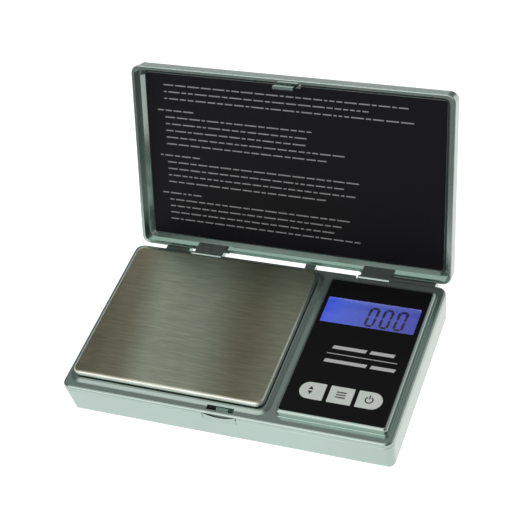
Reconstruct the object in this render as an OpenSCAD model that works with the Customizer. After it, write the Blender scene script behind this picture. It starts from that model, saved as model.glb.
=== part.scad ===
// Digital pocket scale with a fold-over lid, a steel weighing platform and a raised display island.
// Millimetres. X runs to the right, Y to the back, Z up. The origin is on the table, under the
// middle of the case. The lid stands open as in use, and every key and the catch is at rest.

/* [Sub-part] */
// Which sub-part to draw

/* [Case] */
// Width of the case, left to right
case_w = 128; // [124:1:140]
// Depth of the case, front to back
case_d = 74.2; // [72:0.1:80]
// Height of the deck over the underside of the case
case_h = 15.1; // [14.9:0.1:17]
// Height of the lower case, up to the seam
seam_h = 13; // [12.8:0.1:13.4]
// Thickness of the side walls
wall_t = 1.8; // [1.4:0.1:2]
// Thickness of the floor
floor_t = 1.6; // [1.4:0.1:1.8]
// Thickness of the deck
deck_t = 1.6; // [1.4:0.1:1.6]
// Radius of the case's corners seen from above
corner_r = 3.4; // [3.2:0.1:4.5]
// How far each wall leans in from the seam to the floor
wall_draft = 0.9; // [0.4:0.1:1]
// Radius of the lower edge
low_edge_r = 2; // [1.2:0.1:2.2]
// Radius of the deck's edge
deck_edge_r = 1; // [0.5:0.1:1.2]
// How far the rubber feet stand out under the case
foot_h = 0.5; // [0.3:0.1:1]
// Radius of a rubber foot
foot_r = 3.4; // [2.5:0.1:3.6]

/* [Raised pad under the platform] */
// Height of the pad over the deck
pad_h = 0.5; // [0.3:0.1:0.6]
// Width of the soft slope round the pad
pad_slope = 2.4; // [1.5:0.1:2.8]
// Pad's margin in front of the platform
pad_front = 2.9; // [2:0.1:3]

/* [Weighing platform] */
// Distance from the case's front to the platform
plat_front = 5.4; // [5.4:0.1:8]
// Distance from the platform to the case's back
plat_back = 3.2; // [2.4:0.1:8]
// Distance from the case's left side to the platform
plat_side = 2.8; // [2.7:0.1:3.4]
// Gap between the platform and the island
plat_gap = 5.3; // [5:0.1:7]
// Height of the platform's top over the deck
plat_h = 2.9; // [2.7:0.1:3]
// Thickness of the steel sheet
sheet_t = 0.5; // [0.4:0.1:0.6]
// Outer radius of the folded edge
fold_r = 1.2; // [0.9:0.1:1.4]
// Height of the folded skirt
skirt_h = 1.7; // [1.4:0.1:1.9]
// How far a full load pushes the platform down
load_travel = 0.3; // [0.1:0.1:0.4]

/* [Display island] */
// Width of the island
isl_w = 41; // [40.6:0.1:41]
// Distance from the case's front to the island
isl_front = 4.1; // [4:0.1:6]
// Distance from the island to the case's back
isl_back = 5.2; // [5:0.1:7]
// Distance from the case's right side to the island
isl_side = 2.7; // [2.7:0.1:2.9]
// Height of the island over the deck
isl_h = 2.8; // [2.7:0.1:2.9]
// Radius of its upper edge
isl_edge_r = 1; // [0.6:0.1:1]
// Width and height of the step round its foot
plinth = 0.4; // [0.2:0.1:0.5]
// Thickness of the black overlay
overlay_t = 0.45; // [0.3:0.05:0.5]
// Black border left and right of the window, out to the island's side
window_edge = 2.65; // [2.5:0.05:5]
// Window's depth
window_d = 12.1; // [10:0.1:13]
// Window's middle, left or right of the island's middle
window_x = -0.15; // [-0.3:0.05:0.3]
// Window's middle behind the island's middle
window_y = 16.75; // [14:0.05:18]

/* [Keys] */
// Depth of a key
key_d = 7.3; // [6:0.1:8]
// Width of the outer keys
key_w = 9.3; // [8:0.1:9.4]
// Width of the middle key
key_mid_w = 8.9; // [8:0.1:9.2]
// Distance from the middle key to each outer key
key_pitch = 10.6; // [10.5:0.1:11]
// Middle of the row of keys, left or right of the island's middle
key_x = 0.4; // [0:0.1:0.8]
// Middle of the row of keys, in front of the island's middle
key_y = 21; // [19:0.1:23]
// How far a key stands over the overlay
key_proud = 0.1; // [0.05:0.05:0.5]
// How far a key goes down
key_travel = 0.3; // [0.2:0.05:0.3]

/* [Lid] */
// How far the lid is folded back from closed
lid_angle = 112.6; // [0:0.1:112.6]
// Height of the lid over its rim
lid_h = 6.6; // [6.2:0.1:7.5]
// Width of the rim
lid_lip = 1.3; // [1:0.1:1.5]
// Depth of the wall inside the rim
lid_wall_h = 2.4; // [2:0.1:2.6]
// Depth of the lid's floor under the rim
lid_floor = 4.4; // [4.2:0.1:4.6]
// Radius of the lid's outer edge
lid_edge_r = 1.4; // [0.8:0.1:1.5]
// Border left and right of the printed label
label_side = 4.1; // [4.1:0.1:12]
// Border in front of and behind the printed label
label_end = 3.7; // [3.6:0.1:7]
// Hinge axis behind the case's back wall
hinge_out = 0.8; // [0.6:0.1:1]
// Hinge axis under the deck
hinge_down = 2.55; // [2.4:0.05:2.6]
// Radius of the hinge's knuckles on the case
knuckle_r = 2.4; // [2.2:0.1:2.4]
// Radius of the hinge's barrels on the lid
lug_r = 1.1; // [1:0.1:1.2]
// Radius of a hinge pin
pin_r = 0.6; // [0.4:0.1:0.7]

/* [Catch] */
// Middle of the catch, left or right of the case's middle
latch_x = -0.45; // [-2:0.05:2]
// Width of the release button
button_w = 12.7; // [10:0.1:13]
// Height of the release button
button_h = 3.3; // [2.8:0.1:3.4]
// How far the button goes in
button_travel = 0.6; // [0.5:0.1:0.6]
// Width of the lid's hook
hook_w = 8; // [6:0.1:9]
// Width of the catch tab
catch_w = 4.6; // [3:0.1:6]

/* [Batteries] */
// Diameter of a cell
cell_dia = 10.5; // [10.3:0.1:10.5]
// Length of a cell with its contact button
cell_len = 44.5; // [44:0.1:44.5]
// Distance between the two cells' middles
cell_pitch = 11.2; // [10.9:0.1:11.4]

/* [Hidden] */
$fn = 48;

// Heights over the table
z0 = foot_h;
seam_z = z0 + seam_h;
deck_z = z0 + case_h;
ceiling_z = deck_z - deck_t;
pad_z = deck_z + pad_h;
plat_z = deck_z + plat_h;
isl_z = deck_z + isl_h;
overlay_z = isl_z - 0.1;
seat_z = overlay_z - overlay_t;
cover_t = 1.1;
hollow_z = seat_z - cover_t;

// Places across the case
west = -case_w / 2;
east = case_w / 2;
plat_w = case_w - plat_side - plat_gap - isl_w - isl_side;
plat_d = case_d - plat_front - plat_back;
plat_x = west + plat_side + plat_w / 2;
plat_y = (plat_front - plat_back) / 2;
isl_d = case_d - isl_front - isl_back;
isl_x = east - isl_side - isl_w / 2;
isl_y = (isl_front - isl_back) / 2;
window_w = isl_w - 2 * window_edge;
label_w = case_w - 2 * label_side;
label_d = case_d - 2 * label_end;

// Inside of the case
in_w = case_w - 2 * (wall_t + wall_draft);
in_d = case_d - 2 * (wall_t + wall_draft);
in_r = 2;
front_in = -in_d / 2;
slack = 0.1;
play = 0.15;

// Screws that hold the case together
case_screw_x = east - 6.4;
case_screw_y = case_d / 2 - 6.5;
shank_r = 1.1;
head_r = 2.1;
head_h = 1.4;
boss_r = 2.6;
boss_top = z0 + 4.4;
screw_len = 9;

// Feet
foot_t = foot_h + 0.5;
foot_x = east - 7.8;
foot_y = case_d / 2 - 15.1;

// Batteries, lying front to back under the display
bat_x = isl_x - 2;
door_t = 1.5;
plate_t = 0.4;
plate_half = 4.4;
link_half = 2;
wire_r = 0.45;
wire_x = 4;
wire_out = 0.5;
wire_fit = 0.05;
spring_len = 5;
bay_w = cell_pitch + cell_dia + 0.6;
bay_d = cell_len + spring_len + 2 * plate_t;
bay_wall = 1.1;
cell_z = z0 + door_t + 0.2 + cell_dia / 2;
bay_z = cell_z + cell_dia / 2 + 0.1;
door_lap = 1.4;
door_w = bay_w + 2 * door_lap;
door_d = bay_d + 2 * door_lap;
door_frame = 1.5;
coil_wire = 0.35;
coil_turns = 3.5;
coil_gap = (spring_len - 2 * coil_wire) / coil_turns - 2 * coil_wire;

// Load cell
bar_l = 50;
bar_w = 9;
bar_h = 6;
bar_x = plat_x;
bar_y = plat_y;
bar_top = ceiling_z - 1.3;
bar_z = bar_top - bar_h;
bar_hole_r = 2.1;
bar_hole_x = 5;
end_l = 12.4;
bolt_x = [15.8, 21.8];
bolt_r = 1.4;
bolt_head_r = 2.4;
bolt_head_h = 1.3;
bolt_grip = 4.5;
fixed_x = bar_x - bar_l / 2 + end_l / 2;
free_x = bar_x + bar_l / 2 - end_l / 2;

// Platform's support
support_top = plat_z - sheet_t;
support_t = 1.2;
support_w = plat_w - 2 * fold_r - 0.2;
support_d = plat_d - 2 * fold_r - 0.2;
arm_gap = 0.8;
rib = [4.8, 4.5];
spine = [6, 10];
opening = [support_w / 2 - rib[0] - spine[0], support_d / 2 - rib[1] - spine[1]];

// Circuit board and what it carries
board_w = isl_w - 8.4;
board_d = isl_d - 5.9;
board_x = isl_x - 2.1;
board_y = isl_y + 0.05;
board_z = bay_z + bay_wall + 0.1;
board_t = 1;
board_top = board_z + board_t;
glass_w = window_w + 1.2;
glass_d = window_d + 2.5;
glass_t = 1.3;
glass_x = isl_x + window_x;
glass_y = isl_y + window_y;
glass_top = seat_z - 0.05;
glass_low = glass_top - glass_t;
light_w = window_w - 1.7;
light_d = window_d - 0.1;
light_y = glass_y + 0.7;
strip_w = window_w - 5.7;
strip_d = 1.3;
strip_y = glass_y - glass_d / 2 + 1;
hold_x = [board_x - board_w / 2 + 2.8, board_x + board_w / 2 - 2.8];
hold_y = [board_y - board_d / 2 + 1.8, board_y + board_d / 2 - 1.8];
hold_r = 1.8;
small_r = 0.8;
small_head_r = 1.4;
small_head_h = 0.7;
lead_r = 0.35;
lead_x = board_x - board_w / 2 + 1.4;
lead_y = bar_y + bar_w / 2 + 1;
// Chips on the board: place across, place back, width, depth, height
chips = [[1.3, -3.5, 9, 9, 1.4], [-10.7, -7.5, 5, 4, 1.2], [-10.7, 0.5, 4, 3, 1], [11.8, -7.5, 3, 5, 1.3],
    [11.3, 2.5, 0.7, 1.4, 0.6], [12.4, 2.5, 0.7, 1.4, 0.6], [13.5, 2.5, 0.7, 1.4, 0.6],
    [-5.7, -11.5, 1.2, 2, 0.6], [-5.7, -7.5, 1.2, 2, 0.6], [-5.7, -3.5, 1.2, 2, 0.6]];

// Keys and their switches
key_row_x = isl_x + key_x;
key_row_y = isl_y - key_y;
key_top = overlay_z + key_proud;
key_edge = 0.15;
key_gap = 0.15;
key_corner = 0.3;
flange = 0.6;
flange_t = 0.6;
switch_w = 4.2;
switch_t = 0.55;
plunger_r = 1.1;
plunger_top = hollow_z - flange_t - key_travel - 0.05;

// Overlay
rim_w = 1;
overlay_w = isl_w - 2 * rim_w;
overlay_d = isl_d - 2 * rim_w - 0.2;

// Hinge
slope_run = 1.3;
label_gap = 0.2;
hinge_y = case_d / 2 + hinge_out;
hinge_z = deck_z - hinge_down;
pin_fit = 0.05;
lug_gap = 0.35;
knuckles = [[west + 12.6, west + 22.4], [east - 22.5, east - 4.8]];
lugs = [[west + 22.8, west + 34.8], [east - 35.5, east - 22.8]];
arms = [[west + 24.2, west + 36.2], [east - 34.7, east - 22.8]];
notches = [[west + 22.5, west + 36.6], [east - 35.8, east - 22.5]];
notch_y = case_d / 2 - 1.85;
pins = [[west + 13.6, west + 33.8], [east - 34.5, east - 10]];
gap_x = [west + 38, east - 35.7];
gap_h = 1;
stop_x = 8.3;
stop_w = 4.1;

// Catch
slot_w = 10.4;
slot_d = 1.9;
slot_y = -34.55;
hook_t = 1;
hook_y = slot_y - slot_d / 2 + 0.3;
hook_low = deck_z - 3.2;
barb = 0.5;
barb_h = 0.7;
catch_t = 0.7;
catch_z = hook_low + barb_h + 0.1;
catch_y = hook_y + hook_t + 0.1;
button_z = z0 + 11;
button_y = -case_d / 2 + 0.1;
button_t = 1;
slide_low = button_z + 0.4;
slide_top = catch_z + catch_t;
wing_top = seam_z - 0.15;
button_gap = 0.45;
arm_w = 1.5;
bar_y0 = catch_y + 0.9;
bar_y1 = bar_y0 + 1.8;
scoop_r = 15.5;
scoop_low = 1.9;
coil_r = 0.8;
coil_w = 0.25;
coil_l = 4.4;
coil_n = 3.5;
coil_x = latch_x;
coil_z = (slide_low + slide_top) / 2;
latch_gap = (coil_l - 2 * coil_w) / coil_n - 2 * coil_w;
echo(least_gap_between_battery_curls = coil_gap);
echo(least_gap_between_catch_curls = latch_gap);

// Rectangle with round corners
module plan(w, d, r) {
    square([w - 2 * r, d], center = true);
    square([w, d - 2 * r], center = true);
    for (x = [-1, 1], y = [-1, 1])
        translate([x * (w / 2 - r), y * (d / 2 - r)]) circle(r);
}

// Upright block with round corners, from height a to height b
module block(w, d, r, a, b) {
    translate([0, 0, a]) linear_extrude(height = b - a) plan(w, d, r);
}

// Carries a profile round a rectangle: straight runs and quarter turns
module round_frame(w, d, r) {
    for (turn = [0, 180])
        rotate([0, 0, turn]) translate([w / 2 - r, 0, 0]) rotate([90, 0, 0])
            linear_extrude(height = d - 2 * r, center = true) children();
    for (turn = [90, 270])
        rotate([0, 0, turn]) translate([d / 2 - r, 0, 0]) rotate([90, 0, 0])
            linear_extrude(height = w - 2 * r, center = true) children();
    for (k = [0:3])
        translate([(k == 0 || k == 3 ? 1 : -1) * (w / 2 - r), (k < 2 ? 1 : -1) * (d / 2 - r), 0])
            rotate([0, 0, 90 * k]) rotate_extrude(angle = 90) children();
}

// Wall profile with a round upper edge
module edge_profile(r, a, b, e) {
    translate([0, a]) square([r, b - a - e]);
    translate([0, a]) square([r - e, b - a]);
    intersection() {
        translate([r - e, b - e]) circle(e);
        translate([r - e, b - e]) square([e, e]);
    }
}

// Block whose upper edge is round all the way
module soft_block(w, d, r, a, b, e) {
    translate([0, 0, (a + b) / 2]) cube([w - 2 * r, d - 2 * r, b - a], center = true);
    round_frame(w, d, r) edge_profile(r, a, b, e);
}

module tube_x(span, r, y, z) {
    translate([span[0], y, z]) rotate([0, 90, 0]) cylinder(h = span[1] - span[0], r = r);
}

module box(a, b) {
    translate(a) cube([b[0] - a[0], b[1] - a[1], b[2] - a[2]]);
}

module at_case_screws() {
    for (x = [-1, 1], y = [-1, 1]) translate([x * case_screw_x, y * case_screw_y, 0]) children();
}

module at_feet() {
    for (x = [-1, 1], y = [-1, 1]) translate([x * foot_x, y * foot_y, 0]) children();
}

module at_board_screws() {
    for (x = hold_x, y = hold_y) translate([x, y, 0]) children();
}

// Wire bent through a row of points
module wire(points, r) {
    for (k = [0:len(points) - 2]) {
        span = points[k + 1] - points[k];
        run = norm(span);
        translate(points[k]) rotate([0, acos(span[2] / run), atan2(span[1], span[0])])
            cylinder(h = run, r = r, $fn = 16);
        translate(points[k + 1]) sphere(r, $fn = 16);
    }
}

// Coil of round wire that climbs along Z
module coil(turns, len, ra, rb, w) {
    n = ceil(turns * 8);
    ring = [for (i = [0:n]) let (t = i / n, a = 360 * turns * t, r = ra + (rb - ra) * t)
        for (j = [0:5]) let (b = 60 * j)
            [(r + w * cos(b)) * cos(a), (r + w * cos(b)) * sin(a), w + (len - 2 * w) * t + w * sin(b)]];
    side = [for (i = [0:n - 1], j = [0:5]) let (c = 6 * i + j, d = 6 * i + (j + 1) % 6)
        each [[c, d, d + 6], [c, d + 6, c + 6]]];
    polyhedron(ring, concat(side, [[5, 4, 3, 2, 1, 0]], [[for (j = [0:5]) 6 * n + j]]));
}

// Lower case

module lower_wall() {
    lean = atan(wall_draft / seam_h);
    foot = corner_r - low_edge_r - wall_draft;
    polygon([[0, z0], [foot, z0], [foot, z0 + low_edge_r],
        [foot + low_edge_r * cos(lean), z0 + low_edge_r],
        [corner_r - 0.02, seam_z - 0.25], [corner_r - 0.2, seam_z], [0, seam_z]]);
    intersection() {
        translate([foot, z0 + low_edge_r]) circle(low_edge_r);
        translate([foot, z0]) square([low_edge_r, low_edge_r]);
    }
}

module bay_place() {
    translate([bat_x, 0, 0]) children();
}

module front_opening(a, b, right) {
    box([latch_x - button_w / 2 - play, -case_d / 2 - 1, a], [latch_x + button_w / 2 + right, front_in + 1.2, b]);
}

// Notches that the lid's hinge arms dip into
module arm_space() {
    for (span = notches)
        box([span[0], notch_y, hinge_z - lug_r - lug_gap], [span[1], hinge_y, pad_z + 1]);
}

module at_battery_wires() {
    for (k = [-1, 1]) translate([bat_x + k * wire_x, bay_d / 2, 0]) children();
}

module lower_case() {
    color([0.72, 0.76, 0.74]) difference() {
        union() {
            difference() {
                union() {
                    translate([0, 0, (z0 + seam_z) / 2])
                        cube([case_w - 2 * corner_r, case_d - 2 * corner_r, seam_h], center = true);
                    round_frame(case_w, case_d, corner_r) lower_wall();
                }
                block(in_w, in_d, in_r, z0 + floor_t, seam_z + 1);
            }
            // Battery bay and the frame that the door sits in
            bay_place() {
                block(bay_w + 2 * bay_wall, bay_d + 2 * bay_wall, 0.5, z0 + 1, bay_z + bay_wall);
                block(door_w + 2 * door_frame, door_d + 2 * door_frame, 0.5, z0 + 1, z0 + door_t + 1.3);
            }
            at_case_screws() translate([0, 0, z0 + 1]) cylinder(h = boss_top - z0 - 1, r = boss_r);
            // Seat of the load cell
            box([fixed_x - end_l / 2, bar_y - bar_w / 2 - 1, z0 + 1], [fixed_x + end_l / 2, bar_y + bar_w / 2 + 1, bar_z]);
            // Overload post under the load cell's free end
            translate([free_x + 3, bar_y, z0 + 1]) cylinder(h = bar_z - z0 - 1 - load_travel - 0.1, r = 2);
            // Stop that the open lid leans on
            box([stop_x - stop_w / 2, case_d / 2 - 1.2, seam_z - 3.2], [stop_x + stop_w / 2, hinge_y + 3.35, seam_z - 0.7]);
            // Rails and back stop of the catch
            for (side = [-1, 1])
                box([latch_x + side * (button_w / 2 + 1.9) - 0.6, front_in - 1, z0 + 1],
                    [latch_x + side * (button_w / 2 + 1.9) + 0.6, bar_y1 + coil_l, seam_z - 0.1]);
            box([latch_x - 3, bar_y1 + coil_l - 1.2, z0 + 1], [latch_x + 3, bar_y1 + coil_l + 1.8, seam_z - 0.1]);
        }
        // Battery bay, open to the underside
        bay_place() {
            block(bay_w, bay_d, 0.3, z0 - 1, bay_z);
            block(door_w + 2 * play, door_d + 2 * play, 1.2, z0 - 1, z0 + door_t);
        }
        at_case_screws() {
            translate([0, 0, z0 - 1]) cylinder(h = 1 + head_h + 0.2, r = head_r + 0.3);
            cylinder(h = deck_z, r = shank_r + play);
        }
        for (x = bolt_x) translate([bar_x - x, bar_y, 0]) {
            translate([0, 0, z0 - 1]) cylinder(h = 1 + bolt_head_h + 0.6, r = bolt_head_r + 0.3);
            cylinder(h = bar_top, r = bolt_r + play);
        }
        at_feet() translate([0, 0, z0 - 1]) cylinder(h = 1 + foot_t - foot_h, r = foot_r + slack);
        at_battery_wires() translate([0, -plate_t, cell_z]) rotate([-90, 0, 0])
            cylinder(h = plate_t + bay_wall + 1, r = wire_r + wire_fit);
        front_opening(button_z - play, seam_z + 1, play);
        arm_space();
        for (span = knuckles)
            tube_x([span[0] - slack, span[1] + slack], knuckle_r + slack, hinge_y, hinge_z);
        // Pocket that guides the catch spring, with room for its travel
        translate([coil_x, bar_y1 + coil_l - 2, coil_z]) rotate([-90, 0, 0])
            cylinder(h = 2 + button_travel + 0.1, r = coil_r + coil_w + 0.2);
    }
}

// Upper case

module pad_profile(r) {
    steps = 12;
    polygon(concat([[0, deck_z - 0.4], [r, deck_z - 0.4], [r, deck_z]],
        [for (k = [1:steps - 1]) [r - pad_slope * k / steps, deck_z + pad_h * (1 - cos(180 * k / steps)) / 2]],
        [[r - pad_slope, pad_z], [0, pad_z]]));
}

module pad() {
    west = -case_w / 2 + lid_lip + 0.1;
    east = plat_x + plat_w / 2 + pad_front;
    south = plat_y - plat_d / 2 - pad_front;
    north = case_d / 2 - lid_lip - 0.2;
    r = pad_slope + 2.6;
    translate([(west + east) / 2, (south + north) / 2, 0]) {
        box([-(east - west) / 2 + r, -(north - south) / 2 + r, deck_z - 0.4], [(east - west) / 2 - r, (north - south) / 2 - r, pad_z]);
        round_frame(east - west, north - south, r) pad_profile(r);
    }
}

module at_key(k) {
    translate([key_row_x + k * key_pitch + (k < 0 ? -0.1 : 0), key_row_y, 0]) children();
}

// Outline of a key: k is -1 with a round left end, 0 square, 1 with a round right end
module key_outline(k, grow) {
    w = (k == 0 ? key_mid_w : key_w) + 2 * grow;
    d = key_d + 2 * grow;
    c = key_corner + grow;
    if (k == 0) plan(w, d, c);
    if (k != 0) {
        translate([k * (w / 2 - d / 2), 0]) circle(d / 2);
        translate([-k * (d / 2 - c) / 2, 0]) square([w - d / 2 - c, d], center = true);
        translate([-k * (w / 2 - c), 0]) square([2 * c, d - 2 * c], center = true);
        for (y = [-1, 1]) translate([-k * (w / 2 - c), y * (d / 2 - c)]) circle(c);
    }
}

module upper_case() {
    color([0.72, 0.76, 0.74]) difference() {
        union() {
            difference() {
                union() {
                    soft_block(case_w, case_d, corner_r, seam_z, deck_z, deck_edge_r);
                    // Tongue inside the lower case
                    difference() {
                        block(in_w - 2 * slack, in_d - 2 * slack, in_r - slack, seam_z - 1.4, seam_z + 0.5);
                        block(in_w - 2.2, in_d - 2.2, in_r - 1, seam_z - 2, seam_z + 1);
                        box([latch_x - button_w / 2 - 3, -case_d, seam_z - 3], [latch_x + button_w / 2 + 3, 0, seam_z]);
                    }
                }
                block(in_w - 2.2, in_d - 2.2, in_r - 1, seam_z - 2, ceiling_z);
            }
            pad();
            translate([isl_x, isl_y, 0]) {
                soft_block(isl_w + 2 * plinth + 0.1, isl_d + 2 * plinth + 0.1, 1.6, deck_z - 0.5, deck_z + plinth, 0.25);
                soft_block(isl_w, isl_d, 1.5, deck_z - 0.5, isl_z, isl_edge_r);
            }
            // Hinge knuckles, whose flat tops carry the deck on to the back
            for (span = knuckles) {
                tube_x(span, knuckle_r, hinge_y, hinge_z);
                box([span[0], notch_y, seam_z], [span[1], hinge_y, hinge_z + knuckle_r]);
            }
        }
        difference() {
            translate([isl_x, isl_y, 0]) block(isl_w - 2.6, isl_d - 2.6, 0.8, seam_z - 2, hollow_z);
            at_case_screws() translate([0, 0, seam_z - 3]) cylinder(h = 10, r = boss_r);
            at_board_screws() translate([0, 0, board_top]) cylinder(h = 5, r = hold_r);
            translate([isl_x, -in_d / 2 - 1.5 + 1.1, seam_z - 3]) cube([isl_w + 4, 3, 3], center = true);
        }
        translate([isl_x, isl_y, 0])
            block(overlay_w + slack, overlay_d + slack, 0.9, seat_z, isl_z + 1);
        translate([glass_x, glass_y, 0]) block(glass_w + 2 * slack, glass_d + 2 * slack, 0.3, hollow_z - 1, isl_z + 1);
        for (k = [-1:1]) at_key(k) translate([0, 0, hollow_z - 1]) linear_extrude(height = 4) key_outline(k, key_gap);
        // Opening for the platform's arm
        translate([free_x, bar_y, 0])
            block(end_l + 2 * arm_gap, bar_w + 2 * arm_gap, 1, ceiling_z - 1, pad_z + 1);
        // Slot for the lid's hook
        translate([latch_x, slot_y, 0]) block(slot_w, slot_d, 0.3, seam_z - 1, pad_z + 1);
        front_opening(seam_z - 1, button_z + button_h + play, button_gap);
        arm_space();
        for (span = pins) tube_x(span, pin_r + pin_fit, hinge_y, hinge_z);
        at_board_screws() translate([0, 0, board_z]) cylinder(h = board_t + 1.9, r = small_r + 0.02);
    }
    // Posts for the screws from below
    color([0.72, 0.76, 0.74]) at_case_screws() difference() {
        translate([0, 0, boss_top]) cylinder(h = ceiling_z + 0.3 - boss_top, r = boss_r - slack);
        translate([0, 0, boss_top - 1]) cylinder(h = screw_len, r = shank_r + 0.02);
    }
}

// Batteries

module battery_door() {
    color([0.7, 0.74, 0.72]) bay_place() difference() {
        union() {
            block(door_w, door_d, 1.05, z0, z0 + door_t);
            box([-1, -door_d / 2 + 8, z0 + 1], [1, door_d / 2 - 8, z0 + door_t + 2]);
        }
        for (k = [0:3]) box([-5, door_d / 2 - 8 + 1.5 * k, z0 - 1], [5, door_d / 2 - 7.3 + 1.5 * k, z0 + 0.35]);
    }
}

module at_cells() {
    for (k = [-1, 1]) translate([bat_x + k * cell_pitch / 2, 0, cell_z]) rotate([0, 0, k > 0 ? 180 : 0]) children();
}

module battery_cells() {
    nub = 1;
    color([0.16, 0.32, 0.3]) at_cells() translate([0, bay_d / 2 - plate_t, 0]) rotate([90, 0, 0]) {
        cylinder(h = nub + 0.5, r = 1.9);
        translate([0, 0, nub]) cylinder(h = cell_len - nub, r = cell_dia / 2);
    }
}

module battery_contacts() {
    color([0.8, 0.8, 0.78]) {
        at_cells() for (y = [-bay_d / 2, bay_d / 2 - plate_t])
            box([-plate_half, y, -plate_half], [plate_half, y + plate_t, plate_half]);
        box([bat_x - link_half, -bay_d / 2, cell_z - link_half], [bat_x + link_half, -bay_d / 2 + plate_t, cell_z + link_half]);
    }
}

module battery_springs() {
    color([0.8, 0.8, 0.78]) at_cells() translate([0, -bay_d / 2 + plate_t, 0]) rotate([-90, 0, 0])
        coil(coil_turns, spring_len, 3.7, 2.2, coil_wire);
}

module battery_wires() {
    out = bay_wall + wire_out;
    color([0.75, 0.12, 0.1]) at_battery_wires()
        wire([[0, 0, cell_z], [0, out, cell_z], [0, out, board_top]], wire_r);
}

module rubber_feet() {
    color([0.12, 0.12, 0.12]) at_feet() cylinder(h = foot_t, r = foot_r);
}

module pan_screw(len, r, hr, hh) {
    difference() {
        union() {
            cylinder(h = hh, r = hr);
            cylinder(h = hh + len, r = r);
        }
        for (a = [0, 90]) rotate([0, 0, a]) cube([1.2 * hr, 0.28 * hr, hh], center = true);
    }
}

module case_screws() {
    color([0.6, 0.6, 0.62]) at_case_screws()
        translate([0, 0, z0 + 0.2]) pan_screw(screw_len, shank_r, head_r, head_h);
}

// Weighing works

module load_cell() {
    color([0.8, 0.81, 0.82]) difference() {
        box([bar_x - bar_l / 2, bar_y - bar_w / 2, bar_z], [bar_x + bar_l / 2, bar_y + bar_w / 2, bar_top]);
        for (x = [-bar_hole_x, bar_hole_x])
            translate([bar_x + x, bar_y, bar_z + bar_h / 2]) rotate([90, 0, 0]) cylinder(h = bar_w + 2, r = bar_hole_r, center = true);
        translate([bar_x, bar_y, bar_z + bar_h / 2]) cube([2 * bar_hole_x, bar_w + 2, 2.4], center = true);
        for (x = bolt_x) {
            translate([bar_x - x, bar_y, bar_z - 1]) cylinder(h = bar_h + 2, r = bolt_r + 0.02);
            translate([bar_x + x, bar_y, bar_z - 1]) cylinder(h = bar_h + 2, r = bolt_r + 0.02);
        }
    }
}

module load_cell_screws() {
    color([0.55, 0.55, 0.57]) for (x = bolt_x) translate([bar_x - x, bar_y, z0 + 0.6])
        pan_screw(bar_z + bolt_grip - z0 - 0.6 - bolt_head_h, bolt_r, bolt_head_r, bolt_head_h);
}

module strain_gauges() {
    color([0.85, 0.6, 0.2]) for (x = [-bar_hole_x, bar_hole_x]) {
        box([bar_x + x - 3, bar_y - 2.2, bar_top], [bar_x + x + 3, bar_y + 2.2, bar_top + 0.25]);
        box([bar_x + x - 3, bar_y - 2.2, bar_z - 0.25], [bar_x + x + 3, bar_y + 2.2, bar_z]);
    }
}

module load_cell_wires() {
    color([0.9, 0.9, 0.88]) for (k = [0:3]) {
        x = bar_x - bar_hole_x - 3.2 - k;
        y = lead_y + k;
        top = bar_top + lead_r + 0.05;
        low = z0 + floor_t + 2 * lead_r + 0.4;
        wire([[x, y - 1 - k, top], [x, y, top], [x, y, low], [lead_x, y, low], [lead_x, y, board_top]], lead_r);
    }
}

module platform_support() {
    color([0.2, 0.2, 0.21]) difference() {
        union() {
            translate([plat_x, plat_y, 0]) block(support_w, support_d, 2, support_top - support_t, support_top);
            box([free_x - end_l / 2, bar_y - bar_w / 2, bar_top], [free_x + end_l / 2, bar_y + bar_w / 2, support_top]);
        }
        for (x = bolt_x) translate([bar_x + x, bar_y, 0]) {
            cylinder(h = support_top + 1, r = bolt_r + play);
            translate([0, 0, support_top - bolt_head_h - 0.1]) cylinder(h = 3, r = bolt_head_r + 0.3);
        }
        // Windows that lighten the plate
        for (x = [-1, 1], y = [-1, 1])
            translate([plat_x + x * (spine[0] + opening[0] / 2), plat_y + y * (spine[1] + opening[1] / 2), 0])
                block(opening[0], opening[1], 3, deck_z, plat_z);
    }
}

module support_screws() {
    color([0.55, 0.55, 0.57]) for (x = bolt_x) translate([bar_x + x, bar_y, support_top - 0.1]) rotate([180, 0, 0])
        pan_screw(support_top - 0.1 - bolt_head_h - bar_top + bolt_grip, bolt_r, bolt_head_r, bolt_head_h);
}

module weighing_platform() {
    r = 3.2;
    color([0.62, 0.61, 0.56]) translate([plat_x, plat_y, 0]) difference() {
        soft_block(plat_w, plat_d, r, plat_z - skirt_h, plat_z, fold_r);
        soft_block(plat_w - 2 * sheet_t, plat_d - 2 * sheet_t, r - sheet_t, plat_z - skirt_h - 1, support_top, fold_r - sheet_t);
    }
}

// Electronics

module circuit_board() {
    color([0.1, 0.36, 0.2]) difference() {
        translate([board_x, board_y, 0]) block(board_w, board_d, 0.8, board_z, board_top);
        at_board_screws() cylinder(h = isl_z, r = small_r + play);
        at_battery_wires() translate([0, bay_wall + wire_out, 0]) cylinder(h = isl_z, r = wire_r + wire_fit);
        for (k = [0:3]) translate([lead_x, lead_y + k, 0]) cylinder(h = isl_z, r = lead_r + wire_fit);
    }
}

module board_chips() {
    color([0.07, 0.07, 0.08]) for (c = chips)
        translate([board_x + c[0], board_y + c[1], board_top + c[4] / 2]) cube([c[2], c[3], c[4]], center = true);
}

module board_screws() {
    color([0.6, 0.6, 0.62]) at_board_screws() translate([0, 0, board_z - small_head_h])
        pan_screw(board_t + 1.8, small_r, small_head_r, small_head_h);
}

module tact_switches() {
    color([0.75, 0.75, 0.73]) for (k = [-1:1]) at_key(k) {
        translate([0, 0, board_top + switch_t / 2]) cube([switch_w, switch_w, switch_t], center = true);
        translate([0, 0, board_top]) cylinder(h = plunger_top - board_top, r = plunger_r);
    }
}

module display_backlight() {
    color([0.25, 0.35, 0.95]) translate([glass_x, light_y, (board_top + glass_low) / 2])
        cube([light_w, light_d, glass_low - board_top], center = true);
}

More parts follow.
